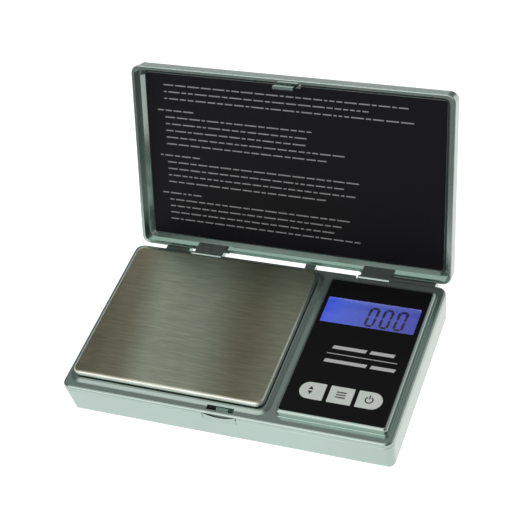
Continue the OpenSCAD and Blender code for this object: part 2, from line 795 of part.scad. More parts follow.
module display_connector() {
    color([0.85, 0.35, 0.5]) translate([board_x + 1, strip_y, (board_top + glass_low) / 2])
        cube([strip_w, strip_d, glass_low - board_top], center = true);
}

module display_glass() {
    color([0.29, 0.33, 0.8]) translate([glass_x, glass_y, 0]) {
        block(glass_w, glass_d, 0.2, glass_low, glass_low + glass_t / 2);
        translate([0, 0.6, 0]) block(glass_w, glass_d - 1.2, 0.2, glass_low + glass_t / 2, glass_top);
    }
}

module display_overlay() {
    color([0.03, 0.03, 0.04]) difference() {
        translate([isl_x, isl_y, 0]) block(overlay_w, overlay_d, 0.85, seat_z, overlay_z);
        translate([glass_x, glass_y, 0]) block(window_w + 0.1, window_d + 0.1, 0.5, seat_z - 1, overlay_z + 1);
        for (k = [-1:1]) at_key(k) translate([0, 0, seat_z - 1]) linear_extrude(height = 4) key_outline(k, key_gap);
    }
}

module display_window() {
    color([0.35, 0.4, 0.85]) translate([glass_x, glass_y, 0])
        block(window_w, window_d, 0.45, seat_z, overlay_z);
}

// Keys

module key_run(d, a, b, e) {
    translate([-d / 2, a]) square([d, b - a - e]);
    translate([-d / 2 + e, a]) square([d - 2 * e, b - a]);
    for (x = [-1, 1]) translate([x * (d / 2 - e), b - e]) circle(e);
}

module key(k) {
    w = k == 0 ? key_mid_w : key_w;
    c = key_corner;
    color([0.78, 0.86, 0.83]) at_key(k) {
        if (k == 0) soft_block(w, key_d, c, hollow_z - flange_t, key_top, key_edge);
        if (k != 0) rotate([0, 0, k > 0 ? 180 : 0]) {
            // Round end
            translate([-w / 2 + key_d / 2, 0, 0]) rotate([0, 0, 90]) rotate_extrude(angle = 180)
                edge_profile(key_d / 2, hollow_z - flange_t, key_top, key_edge);
            // Straight run
            translate([(key_d / 2 - c) / 2, 0, 0]) rotate([90, 0, 90])
                linear_extrude(height = w - key_d / 2 - c, center = true) key_run(key_d, hollow_z - flange_t, key_top, key_edge);
            // Square end
            translate([w / 2 - c, 0, 0]) rotate([90, 0, 0])
                linear_extrude(height = key_d - 2 * c, center = true) edge_profile(c, hollow_z - flange_t, key_top, key_edge);
            for (y = [-1, 1]) translate([w / 2 - c, y * (key_d / 2 - c), 0]) rotate([0, 0, y > 0 ? 0 : -90])
                rotate_extrude(angle = 90) edge_profile(c, hollow_z - flange_t, key_top, key_edge);
        }
        // Flange that keeps the key in
        translate([0, 0, hollow_z - flange_t]) linear_extrude(height = flange_t) key_outline(k, flange);
    }
}

module key_left() {
    key(-1);
}

module key_middle() {
    key(0);
}

module key_right() {
    key(1);
}

// Lid, drawn closed and then folded back

module folded() {
    translate([0, hinge_y, hinge_z]) rotate([-lid_angle, 0, 0]) translate([0, -hinge_y, -hinge_z]) children();
}

module lid_wall() {
    lean = 0.2;
    low = 0.35;
    polygon([[0, deck_z], [corner_r - low, deck_z], [corner_r, deck_z + low],
        [corner_r - lean, deck_z + lid_h - lid_edge_r], [corner_r - lean - lid_edge_r, deck_z + lid_h], [0, deck_z + lid_h]]);
    translate([corner_r - low, deck_z + low]) circle(low);
    translate([corner_r - lean - lid_edge_r, deck_z + lid_h - lid_edge_r]) circle(lid_edge_r);
}

module lid_slope(r, run) {
    polygon([[0, deck_z + lid_wall_h - 0.1], [r, deck_z + lid_wall_h - 0.1], [r, deck_z + lid_wall_h],
        [r - run, deck_z + lid_floor], [0, deck_z + lid_floor]]);
}

module lid_body() {
    run = slope_run;
    r = 2.6;
    slope_w = label_w + 0.3 + 2 * run;
    slope_d = label_d + 2 * label_gap + 2 * run;
    difference() {
        union() {
            translate([0, 0, deck_z + lid_h / 2])
                cube([case_w - 2 * corner_r, case_d - 2 * corner_r, lid_h], center = true);
            round_frame(case_w, case_d, corner_r) lid_wall();
        }
        block(case_w - 2 * lid_lip, case_d - 2 * lid_lip, corner_r - lid_lip, deck_z - 1, deck_z + lid_wall_h);
        translate([0, 0, deck_z + (lid_wall_h + lid_floor) / 2 - 0.05])
            cube([slope_w - 2 * r, slope_d - 2 * r, lid_floor - lid_wall_h + 0.1], center = true);
        round_frame(slope_w, slope_d, r) lid_slope(r, run);
        // Back rim cut back between the lugs
        box([gap_x[0], case_d / 2 - 3, deck_z - 1], [gap_x[1], case_d / 2 + 1, deck_z + gap_h]);
    }
}

module lid_hook() {
    difference() {
        union() {
            box([latch_x - hook_w / 2, hook_y, hook_low], [latch_x + hook_w / 2, hook_y + hook_t, deck_z + lid_floor + 0.2]);
            translate([latch_x - hook_w / 2, 0, 0]) rotate([90, 0, 90]) linear_extrude(height = hook_w)
                polygon([[hook_y, hook_low], [hook_y + hook_t, hook_low], [hook_y + hook_t + barb, hook_low + barb_h - 0.1],
                    [hook_y + hook_t + barb, hook_low + barb_h], [hook_y, hook_low + barb_h]]);
        }
        // Relief in the hook's middle
        box([latch_x - catch_w / 2, hook_y - 1, deck_z - 0.2], [latch_x + catch_w / 2, hook_y + hook_t + 1, deck_z + 1.6]);
    }
}

// Side view of a hinge arm: a flat face from the barrel to the foot of the lid's inner slope
module arm_profile() {
    foot = [label_d / 2 + label_gap + slope_run, deck_z + lid_wall_h];
    reach = foot - [hinge_y, hinge_z];
    turn = atan2(reach[1], reach[0]) + acos(lug_r / norm(reach));
    polygon([[hinge_y + lug_r * cos(turn), hinge_z + lug_r * sin(turn)], foot, foot + [0, 0.2],
        [case_d / 2 - 0.3, foot[1] + 0.2], [case_d / 2 - 0.3, deck_z + 1.6],
        [hinge_y + lug_r, hinge_z + 2.1], [hinge_y + lug_r, hinge_z]]);
    translate([hinge_y, hinge_z]) circle(lug_r);
}

module lid_shell() {
    color([0.74, 0.78, 0.76]) folded() difference() {
        union() {
            lid_body();
            lid_hook();
            for (span = lugs) tube_x(span, lug_r, hinge_y, hinge_z);
            for (span = arms) translate([span[0], 0, 0]) rotate([90, 0, 90])
                linear_extrude(height = span[1] - span[0]) arm_profile();
        }
        for (span = pins) tube_x(span, pin_r + pin_fit, hinge_y, hinge_z);
        // Core hole behind the hook's root
        box([latch_x - hook_w / 2 + 0.5, hook_y + hook_t, deck_z + lid_wall_h], [latch_x + hook_w / 2 - 0.5, hook_y + hook_t + 0.9, deck_z + lid_floor + 0.8]);
    }
}

module lid_label() {
    color([0.03, 0.03, 0.04]) folded() difference() {
        block(label_w, label_d, 1, deck_z + lid_floor - 0.25, deck_z + lid_floor);
        box([latch_x - hook_w / 2 - 0.4, -label_d, deck_z], [latch_x + hook_w / 2 + 0.4, -label_d / 2 + 0.9, deck_z + 10]);
    }
}

module hinge_pins() {
    color([0.7, 0.7, 0.72]) for (span = pins) tube_x(span, pin_r, hinge_y, hinge_z);
}

// Catch

module latch_button() {
    color([0.72, 0.77, 0.74]) difference() {
        union() {
            box([latch_x - button_w / 2, button_y, button_z], [latch_x + button_w / 2, button_y + button_t, button_z + button_h]);
            for (side = [-1, 1]) {
                translate([latch_x + side * (button_w - arm_w) / 2, (button_y + bar_y1) / 2, (slide_low + slide_top) / 2])
                    cube([arm_w, bar_y1 - button_y, slide_top - slide_low], center = true);
                translate([latch_x + side * (button_w / 2 + 0.4), (front_in + bar_y1) / 2 + 0.05, (slide_low + wing_top) / 2])
                    cube([1.2, bar_y1 - front_in - 0.1, wing_top - slide_low], center = true);
            }
            box([latch_x - button_w / 2, bar_y0, slide_low], [latch_x + button_w / 2, bar_y1, slide_top]);
            // Catch tab with a sloped front
            translate([latch_x - catch_w / 2, 0, 0]) rotate([90, 0, 90]) linear_extrude(height = catch_w)
                polygon([[catch_y, catch_z], [bar_y0 + 0.5, catch_z], [bar_y0 + 0.5, slide_top], [catch_y + 0.45, slide_top], [catch_y, slide_top - 0.4]]);
        }
        // Curved gap under the deck's edge, for the thumb
        translate([latch_x - 0.1, button_y - 1, button_z + scoop_low + scoop_r]) rotate([-90, 0, 0])
            cylinder(h = 1 + button_t, r = scoop_r, $fn = 96);
    }
}

module latch_spring() {
    color([0.78, 0.78, 0.76]) translate([coil_x, bar_y1, coil_z]) rotate([-90, 0, 0])
        coil(coil_n, coil_l, coil_r, coil_r, coil_w);
}

lower_case();
upper_case();
battery_door();
battery_cells();
battery_contacts();
battery_springs();
battery_wires();
rubber_feet();
case_screws();
load_cell();
load_cell_screws();
strain_gauges();
load_cell_wires();
platform_support();
support_screws();
weighing_platform();
circuit_board();
board_chips();
board_screws();
tact_switches();
display_backlight();
display_connector();
display_glass();
display_overlay();
display_window();
key_left();
key_middle();
key_right();
lid_shell();
lid_label();
hinge_pins();
latch_button();
latch_spring();
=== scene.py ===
# %% [markdown]
# # A digital pocket scale, dressed in Blender
# The CAD model is the fixed frame: two moulded housings, a steel platform, a lit display and a lid
# that stands open. This notebook gives each part a procedural finish, adds what is printed or lit,
# and sets the floor, the light and the camera. Blender counts in metres, and MM turns millimetres
# into them.

import math
import random

import bmesh
import bpy
from mathutils import Matrix, Vector


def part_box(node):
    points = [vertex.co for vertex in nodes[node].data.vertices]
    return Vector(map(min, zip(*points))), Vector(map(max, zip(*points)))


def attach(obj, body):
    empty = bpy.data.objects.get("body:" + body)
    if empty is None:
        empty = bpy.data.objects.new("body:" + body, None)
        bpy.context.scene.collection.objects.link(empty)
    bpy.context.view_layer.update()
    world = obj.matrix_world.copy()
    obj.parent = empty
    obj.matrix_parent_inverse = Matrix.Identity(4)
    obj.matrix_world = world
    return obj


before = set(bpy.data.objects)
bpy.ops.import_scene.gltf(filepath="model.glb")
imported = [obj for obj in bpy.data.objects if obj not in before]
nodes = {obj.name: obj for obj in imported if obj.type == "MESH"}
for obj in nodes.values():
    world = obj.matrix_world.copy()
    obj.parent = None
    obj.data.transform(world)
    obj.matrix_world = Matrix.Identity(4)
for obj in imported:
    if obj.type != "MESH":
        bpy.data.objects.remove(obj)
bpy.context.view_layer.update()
scene = bpy.context.scene
MM = 0.001

# %% [markdown]
# ## Camera
# A picture and a model only match when the camera matches. The view was solved from the straight
# edges of the object: place, direction and roll. A camera matrix is made of its right, up and
# backward directions, so no angles have to be juggled. The case stands on feet half a millimetre
# high, which lifts the camera by as much.

# %% Camera
FOOT = 0.5
CAMERA_PLACE = Vector((187.416, -305.718, 412.365 + FOOT)) * MM
CAMERA_AIM = Vector((-0.35062, 0.61020, -0.71044))
ROLL = math.radians(-14.005)
PHOTO_WIDTH = 529
FOCAL_PIXELS = 1444.42
SENSOR_WIDTH = 36
NEAREST, FARTHEST = 0.01, 20

forward = CAMERA_AIM.normalized()
level = forward.cross(Vector((0, 0, 1))).normalized()
tall = level.cross(forward)
right = level * math.cos(ROLL) + tall * math.sin(ROLL)
up = right.cross(forward)
cam_data = bpy.data.cameras.new("camera")
cam_data.sensor_width = SENSOR_WIDTH
cam_data.lens = FOCAL_PIXELS / PHOTO_WIDTH * SENSOR_WIDTH
cam_data.clip_start = NEAREST
cam_data.clip_end = FARTHEST
cam = bpy.data.objects.new("camera", cam_data)
scene.collection.objects.link(cam)
cam.matrix_world = Matrix((
    (right.x, up.x, -forward.x, CAMERA_PLACE.x),
    (right.y, up.y, -forward.y, CAMERA_PLACE.y),
    (right.z, up.z, -forward.z, CAMERA_PLACE.z),
    (0, 0, 0, 1)))
scene.camera = cam
print("lens", round(cam_data.lens, 1), "mm")

# %% [markdown]
# ## Building a graph of nodes
# A material is a graph: coordinates go into noise, noise goes into a colour ramp, and the ramp goes
# into the shader. The sky is such a graph too. This small class keeps both readable: its functions
# add a node and give back the output that the next one needs.

# %% Node helpers
WHITE = (1, 1, 1)


def grey(v):
    return (v, v, v)


class Graph:
    """A node tree, with short ways to add nodes and link them."""

    def __init__(self, tree):
        self.tree = tree

    def add(self, kind, **values):
        """A node; each value goes to the socket of that name, or else to the setting."""
        node = self.tree.nodes.new(kind)
        for key, value in values.items():
            if key in node.inputs:
                node.inputs[key].default_value = value
            else:
                setattr(node, key, value)
        return node

    def link(self, output, node, into):
        self.tree.links.new(output, node.inputs[into])

    def dot(self, vector, direction):
        """How far a vector reaches along a direction."""
        node = self.add("ShaderNodeVectorMath", operation="DOT_PRODUCT")
        self.link(vector, node, 0)
        node.inputs[1].default_value = direction
        return node.outputs["Value"]

    def part(self, vector, axis):
        """One of a vector's three lengths."""
        node = self.add("ShaderNodeSeparateXYZ")
        self.link(vector, node, "Vector")
        return node.outputs[axis]

    def span(self, value, low, high, top=1.0, shape="LINEAR"):
        """Maps a value between low and high onto 0 to top."""
        node = self.add("ShaderNodeMapRange", interpolation_type=shape)
        node.inputs["From Min"].default_value = low
        node.inputs["From Max"].default_value = high
        node.inputs["To Max"].default_value = top
        self.link(value, node, "Value")
        return node.outputs["Result"]


print("graph helpers", [name for name in vars(Graph) if name[0] != "_"])

# %% [markdown]
# ## Building a finish
# A finish is a graph that ends in one shader. All patterns read Object coordinates, which are
# metres in the CAD frame here, so grain has its true size on every part.

# %% Finish helpers
MIX_FIRST, MIX_SECOND, MIX_RESULT = 6, 7, 2
NOISE_LOW, NOISE_HIGH = 0.3, 0.7
GRAIN_DEPTH = 0.03 * MM


class Finish(Graph):
    """The node graph of one material, with its shader ready."""

    def __init__(self, name):
        self.mat = bpy.data.materials.new(name)
        self.mat.use_nodes = True
        super().__init__(self.mat.node_tree)
        self.tree.nodes.clear()
        self.shader = self.add("ShaderNodeBsdfPrincipled")
        surface = self.add("ShaderNodeOutputMaterial")
        self.link(self.shader.outputs["BSDF"], surface, "Surface")
        self.coord = self.add("ShaderNodeTexCoord").outputs["Object"]

    def feed(self, output, into):
        """Links an output to one of the shader's inputs."""
        self.link(output, self.shader, into)

    def set(self, **values):
        """Sets the shader's inputs; an underscore stands for the space in a name."""
        for key, value in values.items():
            self.shader.inputs[key.replace("_", " ")].default_value = value

    def stretch(self, scale):
        """Coordinates multiplied by scale, cells per metre along each axis."""
        node = self.add("ShaderNodeMapping", Scale=scale)
        self.link(self.coord, node, "Vector")
        return node.outputs["Vector"]

    def noise(self, where, scale=1.0, detail=3.0, rough=0.55):
        node = self.add("ShaderNodeTexNoise", Scale=scale, Detail=detail, Roughness=rough)
        self.link(where, node, "Vector")
        return node.outputs["Fac"]

    def ramp(self, value, stops, shape="LINEAR"):
        """A colour ramp on a value, from (position, colour) stops."""
        node = self.add("ShaderNodeValToRGB")
        node.color_ramp.interpolation = shape
        marks = node.color_ramp.elements
        while len(marks) < len(stops):
            marks.new(0.5)
        for mark, (place, colour) in zip(marks, stops):
            mark.position = place
            mark.color = (*colour, 1)
        self.link(value, node, "Fac")
        return node.outputs["Color"]

    def blend(self, value, first, second, low=NOISE_LOW, high=NOISE_HIGH):
        """From one colour to another over the middle range of a noise."""
        return self.ramp(value, [(low, first), (high, second)])

    def times(self, first, second, amount=None):
        """One colour multiplied by another, fully or by an amount from a node."""
        node = self.add("ShaderNodeMix", data_type="RGBA", blend_type="MULTIPLY")
        node.inputs["Factor"].default_value = 1
        if amount:
            self.link(amount, node, "Factor")
        self.link(first, node, MIX_FIRST)
        self.link(second, node, MIX_SECOND)
        return node.outputs[MIX_RESULT]

    def bump(self, height, strength, depth):
        """Relief on the shader, from a height."""
        node = self.add("ShaderNodeBump", Strength=strength, Distance=depth)
        self.link(height, node, "Height")
        self.feed(node.outputs["Normal"], "Normal")


def dress(mat, *names):
    """Gives CAD nodes their material."""
    for name in names:
        nodes[name].data.materials.clear()
        nodes[name].data.materials.append(mat)
    print(mat.name, "on", len(names))


# %% [markdown]
# ## Silver paint
# The mouldings are sprayed in a cool silver with a faint green cast. Paint like this is mostly a
# metal with a soft gloss: what it shows is the room. Fine noise stands for the flakes and moves
# roughness and relief a little, and broad noise moves the tone, so no wall is one flat colour.

# %% Silver paint
SILVER = (0.385, 0.49, 0.45)
SILVER_DIM = [c * 0.95 for c in SILVER]
FLAKES, CLOUDS = 5200, 35
FLAKE_RELIEF = 0.05
f = Finish("silver_paint")
flakes = f.noise(f.coord, FLAKES, 2)
cloud = f.noise(f.coord, CLOUDS)
f.feed(f.blend(cloud, SILVER_DIM, SILVER), "Base Color")
f.feed(f.blend(flakes, grey(0.14), grey(0.19)), "Roughness")
f.set(Metallic=0.9)
f.bump(flakes, FLAKE_RELIEF, GRAIN_DEPTH)
dress(f.mat, "lower_case", "upper_case", "lid_shell", "latch_button", "battery_door")

# %% [markdown]
# ## Brushed steel: the scratches
# The platform's scratches run from left to right. Noise is squeezed across them and drawn out along
# them, three times: soft streaks, fine scratches, and short dark dashes where the sheet is worn.

# %% Steel's scratches
STREAKS = (80, 2400, 300)
SCRATCHES = (60, 5200, 900)
DASHES = (150, 1500, 300)
STEEL_DARK, STEEL_LIGHT = (0.77, 0.83, 0.75), (0.91, 0.98, 0.90)
WORN = [(0.30, grey(0.84)), (0.50, grey(0.91)), (0.64, grey(1.0))]
f = Finish("brushed_steel")
streaks = f.noise(f.stretch(STREAKS), rough=0.6)
scratches = f.noise(f.stretch(SCRATCHES), rough=0.6)
dashes = f.noise(f.stretch(DASHES), detail=2, rough=0.5)
brushed_and_painted_light = f.blend(streaks, STEEL_DARK, STEEL_LIGHT, high=0.72)
brushed_and_painted_light = f.times(brushed_and_painted_light, f.blend(scratches, grey(0.86), grey(1.0)))
brushed_and_painted_light = f.times(brushed_and_painted_light, f.ramp(dashes, WORN))
print("scratches per metre", SCRATCHES)

# %% [markdown]
# ## Brushed steel: painted reflection bands, painted shade and the gloss
# Broad soft bands across the brushing are painted reflection: they stand in for the room mirrored
# in a sheet that isn't quite flat. One ramp reads a slanted length across the sheet and paints
# them, only where the face looks up, and a second one is painted shade that dims the front a
# little. Anisotropy with a fixed tangent makes each highlight spread across the scratches.

# %% Steel's painted reflection bands, painted shade and gloss
# Painted reflection: light and dark bands across the sheet, in place of the mirrored room.
PAINTED_REFLECTION_BANDS = [
    (0.00, (0.50, 0.44, 0.33)),
    (0.12, (0.61, 0.55, 0.42)),
    (0.32, (0.99, 1.04, 0.88)),
    (0.48, (0.91, 0.95, 0.81)),
    (0.78, (0.53, 0.49, 0.38)),
    (1.00, (0.75, 0.74, 0.60))]
BAND_SLANT = 0.2
# Painted shade: the front of the sheet is made a little darker.
PAINTED_FRONT_SHADE = [(0.0, grey(1.0)), (0.25, grey(0.93)), (1.0, grey(1.0))]
NOT_UP, FULLY_UP = 0.75, 0.98
STREAK_RELIEF, STREAK_DEPTH = 0.04, 0.02 * MM
plate_low, plate_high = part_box("weighing_platform")
across = f.span(f.dot(f.coord, (1, BAND_SLANT, 0)), plate_low.x, plate_high.x)
normal = f.add("ShaderNodeNewGeometry").outputs["Normal"]
painted_bands_mask = f.span(f.part(normal, "Z"), NOT_UP, FULLY_UP)
# The painted reflection bands go on the colour only where the face looks up.
brushed_and_painted_light = f.times(brushed_and_painted_light, f.ramp(across, PAINTED_REFLECTION_BANDS, "EASE"), painted_bands_mask)
to_back = f.span(f.part(f.coord, "Y"), plate_low.y, plate_high.y)
# Painted shade dims the front quarter of the sheet.
brushed_and_painted_light = f.times(brushed_and_painted_light, f.ramp(to_back, PAINTED_FRONT_SHADE))
f.feed(brushed_and_painted_light, "Base Color")
f.feed(f.blend(scratches, grey(0.28), grey(0.4)), "Roughness")
f.feed(f.add("ShaderNodeCombineXYZ", X=1.0).outputs["Vector"], "Tangent")
f.set(Metallic=1.0, Anisotropic=0.7)
f.bump(streaks, STREAK_RELIEF, STREAK_DEPTH)
dress(f.mat, "weighing_platform")

# %% [markdown]
# ## Plastics and print
# One helper makes the quiet finishes: a fine grain that moves colour, roughness and relief a
# little. Each call gives it its own colour, gloss and grain size. The first ones are the black
# sheet in the lid, the glossy overlay round the display, and the pale keys.

# %% A grained finish
DIMMER = 0.92
SMOOTHER, ROUGHER = 0.92, 1.1


def grained(name, colour, rough=0.4, metal=0.0, grain=900, relief=0.03, **more):
    """A finish of one colour with a fine grain."""
    f = Finish(name)
    specks = f.noise(f.coord, grain)
    f.feed(f.blend(specks, [v * DIMMER for v in colour], colour), "Base Color")
    f.feed(f.blend(specks, grey(rough * SMOOTHER), grey(rough * ROUGHER)), "Roughness")
    f.bump(specks, relief, GRAIN_DEPTH)
    f.set(Metallic=metal, **more)
    return f.mat


dress(grained("black_sheet", (0.003, 0.0025, 0.0045), 0.4, grain=400,
              Specular_IOR_Level=0.14), "lid_label")
dress(grained("black_gloss_print", (0.003, 0.003, 0.004), 0.3, grain=400,
              Specular_IOR_Level=0.2), "display_overlay")
dress(grained("key_plastic", (0.88, 0.98, 0.91), 0.5), "key_left", "key_middle", "key_right")

# %% [markdown]
# ## Inner parts
# Feet and case screws show from below, and the rest only when the model is taken apart. The same
# helper gives them the colours that such parts usually have: plated steel, milled aluminium, amber
# film, a green board.

# %% Inner parts
dress(grained("light_guide", (0.5, 0.6, 0.95), 0.3), "display_backlight")
dress(grained("amber_film", (0.6, 0.33, 0.1), 0.4), "strain_gauges", "display_connector")
dress(grained("black_plastic", (0.02, 0.02, 0.022), 0.5, relief=0.2),
      "platform_support", "board_chips")
dress(grained("black_rubber", (0.018, 0.018, 0.018), 0.8, relief=0.4), "rubber_feet")
dress(grained("plated_steel", (0.7, 0.7, 0.69), 0.22, metal=1.0),
      "battery_contacts", "battery_springs", "case_screws", "load_cell_screws", "support_screws",
      "board_screws", "hinge_pins", "latch_spring", "tact_switches")
dress(grained("milled_aluminium", (0.72, 0.73, 0.74), 0.32, metal=1.0, grain=300), "load_cell")
dress(grained("red_wire", (0.5, 0.02, 0.015), 0.4), "battery_wires")
dress(grained("white_wire", (0.75, 0.75, 0.7), 0.4), "load_cell_wires")
dress(grained("green_board", (0.02, 0.13, 0.05), 0.35), "circuit_board")
dress(grained("cell_sleeve", (0.03, 0.1, 0.09), 0.35), "battery_cells")

# %% [markdown]
# ## The lit display
# The glass is lit from behind by a blue light at its left end. Light that comes from inside is
# emission, and a ramp along the glass lets it fade to the right. Soft patches keep it from being
# even. The window over it is clear and has its own gloss.

# %% The lit display
BLUES = [
    (0.00, (0.05, 0.09, 0.80)),
    (0.12, (0.06, 0.125, 0.68)),
    (0.45, (0.07, 0.105, 0.50)),
    (1.00, (0.06, 0.07, 0.42))]
PATCHES = (260, 700, 1)
PATCH_DIM = (0.80, 0.82, 0.9)
window_low, window_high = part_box("display_window")
f = Finish("display_light")
along = f.span(f.part(f.coord, "X"), window_low.x, window_high.x)
patches = f.blend(f.noise(f.stretch(PATCHES)), PATCH_DIM, WHITE)
f.feed(f.times(f.ramp(along, BLUES), patches), "Emission Color")
f.set(Emission_Strength=0.9, Roughness=0.5, Base_Color=(0.02, 0.02, 0.1, 1))
dress(f.mat, "display_glass")

HAZE = 120
f = Finish("clear_window")
haze = f.noise(f.coord, HAZE)
f.feed(f.blend(haze, grey(0.03), grey(0.07), low=0.35), "Roughness")
f.set(IOR=1.45, Base_Color=(1, 1, 1, 1), Transmission_Weight=1.0)
dress(f.mat, "display_window")

# %% [markdown]
# ## Printed and lit marks
# Print is a film far thinner than a pixel, so each mark is a flat outline that is extruded by two
# hundredths of a millimetre and set on its surface. The mark still catches light and moves with its
# part.

# %% Thin plates
FILM = 0.02 * MM


def to_object(name, bm, mat):
    """The object of a finished bmesh, with its material."""
    mesh = bpy.data.meshes.new(name)
    bm.to_mesh(mesh)
    bm.free()
    mesh.materials.append(mat)
    made = bpy.data.objects.new(name, mesh)
    scene.collection.objects.link(made)
    return made


def flat_marks(name, outlines, place, mat, body):
    """One object of thin plates; outlines are lists of (x, y) in mm in the plane of place."""
    bm = bmesh.new()
    faces = [bm.faces.new([bm.verts.new((x * MM, y * MM, 0)) for x, y in outline])
             for outline in outlines]
    grown = bmesh.ops.extrude_face_region(bm, geom=faces, use_keep_orig=True)
    top = [v for v in grown["geom"] if isinstance(v, bmesh.types.BMVert)]
    bmesh.ops.translate(bm, vec=(0, 0, FILM), verts=top)
    bmesh.ops.recalc_face_normals(bm, faces=bm.faces)
    bmesh.ops.transform(bm, matrix=place, verts=bm.verts)
    marks = to_object(name, bm, mat)
    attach(marks, body)
    print(name, len(outlines), "plates")


def on_top_of(node):
    """The level plane on a CAD node's highest point."""
    return Matrix.Translation((0, 0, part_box(node)[1].z))


def bar(x, y, w, h, lean=0.0):
    """An upright bar, its top pushed aside by lean times its height."""
    return [(x, y), (x + w, y), (x + w + lean * h, y + h), (x + lean * h, y + h)]


# %% [markdown]
# ## Figures on the display
# The display shows 0.00 in seven-segment figures. A segment is a bar with pointed ends, and a
# nought is six of them with a small gap at each corner. Building them from segments, rather than
# from a typeface, gives the gaps that such a display has. Two dots go with them: the point, and
# the small mark at the display's upper left.

# %% Figures
LEAN = 0.07
SEGMENT_HALF = 0.5
SEGMENT_GAP = 0.12
FIGURE_LEFT, FIGURE_FOOT, FIGURE_STEP = 39.65, 11.45, 5.45
FIGURE_WIDTH, FIGURE_HEIGHT = 2.9, 8.4
DOTS = [(44.0, 10.95), (24.9, 20.0)]
DOT_SIZE = (0.55, 0.6)


def segment(a, b):
    """The outline of a bar with pointed ends from a to b."""
    a, b = Vector(a), Vector(b)
    along = (b - a).normalized() * SEGMENT_HALF
    side = Vector((-along.y, along.x))
    corners = (a, a + along - side, b - along - side, b, b - along + side, a + along + side)
    return [tuple(p) for p in corners]


def nought(x0, y0, w, h):
    """The six segments of a nought, leaning a little."""
    x1, y1, ym, gap = x0 + w, y0 + h, y0 + h / 2, SEGMENT_GAP
    bars = [((x0, y0 + gap), (x0, ym - gap)), ((x0, ym + gap), (x0, y1 - gap)),
            ((x1, y0 + gap), (x1, ym - gap)), ((x1, ym + gap), (x1, y1 - gap)),
            ((x0 + gap, y0), (x1 - gap, y0)), ((x0 + gap, y1), (x1 - gap, y1))]
    return [[(x + LEAN * (y - y0), y) for x, y in segment(a, b)] for a, b in bars]


figures = []
for k in range(3):
    left = FIGURE_LEFT + FIGURE_STEP * k
    figures += nought(left, FIGURE_FOOT, FIGURE_WIDTH, FIGURE_HEIGHT)
figures += [bar(x, y, *DOT_SIZE) for x, y in DOTS]
ink = grained("display_ink", (0.010, 0.009, 0.10), 0.5)
flat_marks("display_figures", figures, on_top_of("display_glass"), ink, "case")

# %% [markdown]
# ## Marks on the overlay and the keys
# The overlay keeps its thin rule, with plain bars over and under it. The keys carry simple signs:
# two arrows, three bars, and an open ring with a stroke. Each is a flat outline, so one helper
# sets them all, and each sign rides on its own key.

# %% Marks on the overlay
RULE = (30.3, -4.05, 26.3, 0.3)
MARKS = [(31.5, -1.6, 12.6), (45.6, -1.6, 9.0), (30.2, -8.0, 15.8), (47.6, -8.0, 9.0)]
MARK_HEIGHT, MARK_LEAN = 1.5, 0.25
rule = [bar(*RULE)] + [bar(*mark, MARK_HEIGHT, MARK_LEAN) for mark in MARKS]
white = grained("white_print", (0.72, 0.74, 0.75), 0.5)
flat_marks("overlay_marks", rule, on_top_of("display_overlay"), white, "case")

# %% Signs on the keys
KEY_Y = -21.5
ARROW_LEFT, ARROW_TIP, ARROW_RIGHT = 29.0, 29.95, 30.9
ARROW_NEAR, ARROW_FAR = 0.3, 1.9
BARS_LEFT, BARS_WIDTH, BARS_HEIGHT = 39.4, 3.6, 0.5
BARS_RISE = (-1.35, -0.25, 0.85)
RING_X, RING_OUTER, RING_INNER = 51.6, 1.6, 1.1
RING_START, RING_END, RING_STEPS = 125, 415, 18
STROKE_LEFT, STROKE_RISE, STROKE_WIDTH, STROKE_HEIGHT = 51.35, 0.3, 0.5, 1.7


def ring(x, y, outer, inner, start, end):
    """The outline of an open ring, from one angle to another in degrees."""
    turn = [math.radians(start + (end - start) * k / RING_STEPS) for k in range(RING_STEPS + 1)]
    return ([(x + outer * math.cos(t), y + outer * math.sin(t)) for t in turn]
            + [(x + inner * math.cos(t), y + inner * math.sin(t)) for t in reversed(turn)])


arrows = [
    [(ARROW_LEFT, KEY_Y + ARROW_NEAR), (ARROW_RIGHT, KEY_Y + ARROW_NEAR),
     (ARROW_TIP, KEY_Y + ARROW_FAR)],
    [(ARROW_LEFT, KEY_Y - ARROW_NEAR), (ARROW_TIP, KEY_Y - ARROW_FAR),
     (ARROW_RIGHT, KEY_Y - ARROW_NEAR)]]
bars = [bar(BARS_LEFT, KEY_Y + rise, BARS_WIDTH, BARS_HEIGHT) for rise in BARS_RISE]
power = [ring(RING_X, KEY_Y, RING_OUTER, RING_INNER, RING_START, RING_END),
         bar(STROKE_LEFT, KEY_Y + STROKE_RISE, STROKE_WIDTH, STROKE_HEIGHT)]
sign_ink = grained("sign_print", (0.05, 0.055, 0.055), 0.5)
for key, signs in (("left", arrows), ("middle", bars), ("right", power)):
    flat_marks("sign_" + key, signs, on_top_of("key_" + key), sign_ink, key + "_key")

# %% [markdown]
# ## The plane of the lid's sheet
# The sheet leans with the lid, so its marks need a plane of their own. The sheet's largest face
# gives the direction it looks in. With the X axis and the way up the sheet, that makes a matrix
# that sets flat marks on it.

# %% Plane of the sheet
LOOKS_FORWARD = 0.5
sheet = nodes["lid_label"].data
facing = max(sheet.polygons, key=lambda p: p.area * (-p.normal.y > LOOKS_FORWARD))
out_of = facing.normal.copy()
up_sheet = out_of.cross(Vector((1, 0, 0)))
corners = [v.co for v in sheet.vertices]
low_edge = min(c.dot(up_sheet) for c in corners)
high_edge = max(c.dot(up_sheet) for c in corners)
face_at = max(c.dot(out_of) for c in corners)
sheet_place = Matrix((
    (1, up_sheet.x, out_of.x, 0),
    (0, up_sheet.y, out_of.y, 0),
    (0, up_sheet.z, out_of.z, 0),
    (0, 0, 0, 1))) @ Matrix.Translation((0, 0, face_at))
print("sheet", round((high_edge - low_edge) / MM, 1), "mm high")

# %% [markdown]
# ## Dashes on the lid's sheet
# The sheet has rows of plain dashes in four blocks, most with a short head over longer rows that
# are set in. The lengths come from a seeded draw, so each run gives the same rows.

